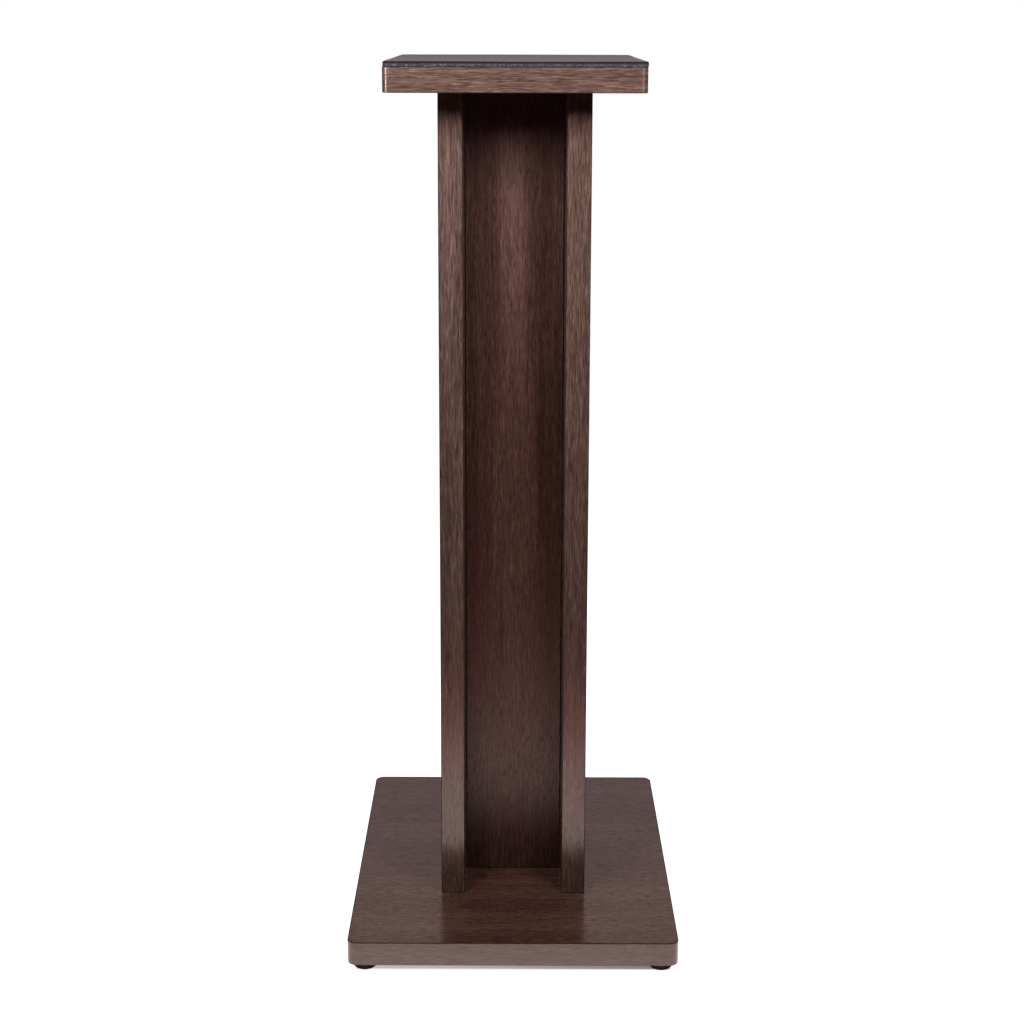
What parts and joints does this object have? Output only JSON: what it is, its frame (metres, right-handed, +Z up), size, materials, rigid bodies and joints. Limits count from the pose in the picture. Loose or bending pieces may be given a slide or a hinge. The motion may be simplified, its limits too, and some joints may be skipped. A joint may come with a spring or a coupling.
{
  "type": "speaker stand",
  "caption": "Floor stand for a bookshelf speaker: rectangular base on levelling feet, H-shaped column of dark wood-grain boards, and a top plate with a foam pad.",
  "frame": {"origin": "on the floor, under the middle of the base plate", "axes": "+Z up, +X to the right of someone facing the front, -Y towards the front, the side that the column stands nearer to"},
  "size_m": [0.34, 0.44, 0.918],
  "materials": {
    "laminated_board": "satin dark walnut wood-grain laminate on fibreboard",
    "edge_band": "satin wood-grain edge band, plain dark brown where its edges are trimmed",
    "foam_pad": "matt fine-celled foam, dark grey",
    "plated_steel": "bright zinc plate",
    "beech_dowel": "raw beech",
    "insert_brass": "plain turned",
    "foot_rubber": "matt moulded black rubber"
  },
  "bodies": {
    "stand": {"base_plate": "laminated_board", "top_plate": "laminated_board", "left_upright": "laminated_board", "right_upright": "laminated_board", "centre_panel": "laminated_board", "base_edge_band": "edge_band", "top_edge_band": "edge_band", "left_upright_front_band": "edge_band", "left_upright_rear_band": "edge_band", "right_upright_front_band": "edge_band", "right_upright_rear_band": "edge_band", "centre_panel_left_band": "edge_band", "centre_panel_right_band": "edge_band", "anti_slip_pad": "foam_pad", "base_screws": "plated_steel", "top_screws": "plated_steel", "base_dowels": "beech_dowel", "top_dowels": "beech_dowel", "left_upright_inserts": "insert_brass", "right_upright_inserts": "insert_brass", "centre_panel_inserts": "insert_brass", "foot_inserts": "insert_brass"},
    "front_left_foot": {"front_left_foot": "foot_rubber", "front_left_foot_stud": "plated_steel"},
    "front_right_foot": {"front_right_foot": "foot_rubber", "front_right_foot_stud": "plated_steel"},
    "rear_left_foot": {"rear_left_foot": "foot_rubber", "rear_left_foot_stud": "plated_steel"},
    "rear_right_foot": {"rear_right_foot": "foot_rubber", "rear_right_foot_stud": "plated_steel"}
  },
  "joints": [
    {"name": "front_left_foot_screw", "type": "slide", "parent": "stand", "child": "front_left_foot", "axis": [0, 0, -1], "range_m": [0, 0.006]},
    {"name": "front_right_foot_screw", "type": "slide", "parent": "stand", "child": "front_right_foot", "axis": [0, 0, -1], "range_m": [0, 0.006]},
    {"name": "rear_left_foot_screw", "type": "slide", "parent": "stand", "child": "rear_left_foot", "axis": [0, 0, -1], "range_m": [0, 0.006]},
    {"name": "rear_right_foot_screw", "type": "slide", "parent": "stand", "child": "rear_right_foot", "axis": [0, 0, -1], "range_m": [0, 0.006]}
  ]
}
